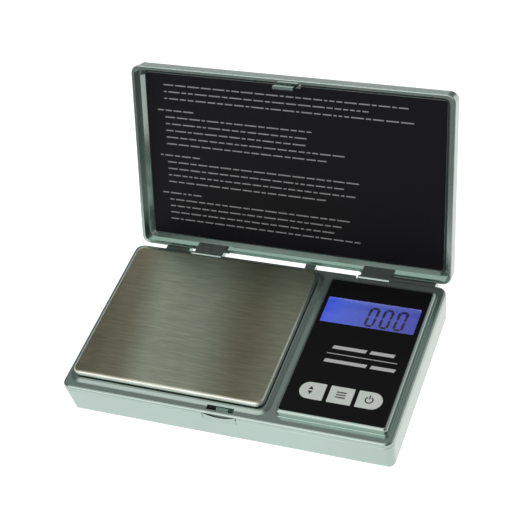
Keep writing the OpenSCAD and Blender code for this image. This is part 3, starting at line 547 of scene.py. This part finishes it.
# %% Dashes on the sheet
LEFT, RIGHT, PITCH = -55.5, 55.0, 2.75
TOP_MARGIN, INDENT, HEAD_LENGTH = 4.6, 3.0, 14
DASH_HEIGHT, DASH_GAP = 0.5, 0.75
SHORTEST, LONGEST = 1.2, 5.2
BLOCK_GAP = 0.75
BLOCKS = [(0, 3, 1.0), (1, 5, 0.72), (1, 4, 0.78), (1, 4, 0.75)]
SHORTER_ROW = 0.75
SEED = 5
draw = random.Random(SEED)
marks = []
row = high_edge / MM - TOP_MARGIN
for heads, rows, reach in BLOCKS:
    for k in range(heads + rows):
        if k < heads:
            x, end = LEFT, LEFT + HEAD_LENGTH
        else:
            x = LEFT + INDENT
            end = LEFT + (RIGHT - LEFT) * reach * draw.uniform(SHORTER_ROW, 1.0)
        while x < end:
            w = draw.uniform(SHORTEST, LONGEST)
            marks.append(bar(x, row, min(w, RIGHT - x), DASH_HEIGHT))
            x += w + DASH_GAP
        row -= PITCH
    row -= PITCH * BLOCK_GAP
print("rows end", round(row - low_edge / MM, 1), "mm over the sheet's low edge")
sheet_ink = grained("grey_print", (0.27, 0.28, 0.29), 0.5)
flat_marks("lid_dashes", marks, sheet_place, sheet_ink, "lid")

# %% [markdown]
# ## Floor
# The floor is pale and glows a little, as an overlit studio table does, so the object hardly
# shades it. Towards the right it glows less and a little warmer, because the real case's right
# wall mirrors a dimmer, warmer table.

# %% Floor
FLOOR_HALF = 0.55
DIM_FROM, DIM_TO = 0.03, 0.12
TABLE = [(0.0, WHITE), (1.0, (0.88, 0.80, 0.80))]
f = Finish("floor_white")
side = f.span(f.part(f.coord, "X"), DIM_FROM, DIM_TO)
f.feed(f.ramp(side, TABLE), "Emission Color")
f.set(Roughness=0.9, Base_Color=(0.3, 0.3, 0.3, 1), Emission_Strength=1.05)
bm = bmesh.new()
bmesh.ops.create_grid(bm, x_segments=1, y_segments=1, size=FLOOR_HALF)
floor = to_object("floor", bm, f.mat)
print("floor", 2 * FLOOR_HALF, "m wide")

# %% [markdown]
# ## A sky of soft lights
# Glossy paint shows the room, so the room is what has to be built: six soft round lights on a dim
# sky. A large one stands in front, one hangs overhead, one is low at the left, one low behind, a
# broad dim one is at the right and a faint one high behind. Each light is a test of how near a
# direction is to its own, and the sky is their sum. The camera itself sees a plain white backdrop,
# and the Standard view leaves the colours as they are set.

# %% Sky of soft lights
AMBIENT = 0.16
WARM = (1.06, 1.0, 1.0)
LIGHTS = [  # azimuth, elevation, full within, none past (degrees), radiance, colour
    (252, 36, 21, 32, 1.6, WARM),
    (190, 74, 8, 25, 1.05, WARM),
    (208, 5, 10, 28, 0.9, WARM),
    (110, 20, 13, 24, 1.1, WHITE),
    (35, 25, 20, 45, 0.4, WHITE),
    (124, 55, 6, 20, 0.18, WHITE)]

world = bpy.data.worlds.new("studio")
scene.world = world
world.use_nodes = True
sky = Graph(world.node_tree)
ray = sky.add("ShaderNodeTexCoord").outputs["Generated"]


def glow(azimuth, elevation, inner, outer, radiance, colour):
    """A soft round light, full within inner degrees of its direction and none past outer."""
    a, e = math.radians(azimuth), math.radians(elevation)
    aim = (math.cos(e) * math.cos(a), math.cos(e) * math.sin(a), math.sin(e))
    strength = sky.span(sky.dot(ray, aim), math.cos(math.radians(outer)),
                        math.cos(math.radians(inner)), radiance, "SMOOTHSTEP")
    lit = sky.add("ShaderNodeVectorMath", operation="SCALE")
    lit.inputs[0].default_value = colour
    sky.link(strength, lit, "Scale")
    return lit.outputs["Vector"]


total = None
for light in LIGHTS:
    both = sky.add("ShaderNodeVectorMath", operation="ADD")
    both.inputs[0].default_value = grey(AMBIENT)
    if total:
        sky.link(total, both, 0)
    sky.link(glow(*light), both, 1)
    total = both.outputs["Vector"]

room = sky.tree.nodes["Background"]
sky.link(total, room, "Color")
backdrop = sky.add("ShaderNodeBackground", Color=(1, 1, 1, 1))
choose = sky.add("ShaderNodeMixShader")
sky.link(sky.add("ShaderNodeLightPath").outputs["Is Camera Ray"], choose, "Fac")
sky.link(room.outputs["Background"], choose, 1)
sky.link(backdrop.outputs["Background"], choose, 2)
sky.link(choose.outputs["Shader"], sky.tree.nodes["World Output"], "Surface")
scene.view_settings.view_transform = "Standard"
print("lights in the sky", len(LIGHTS))

# %% [markdown] ## The end
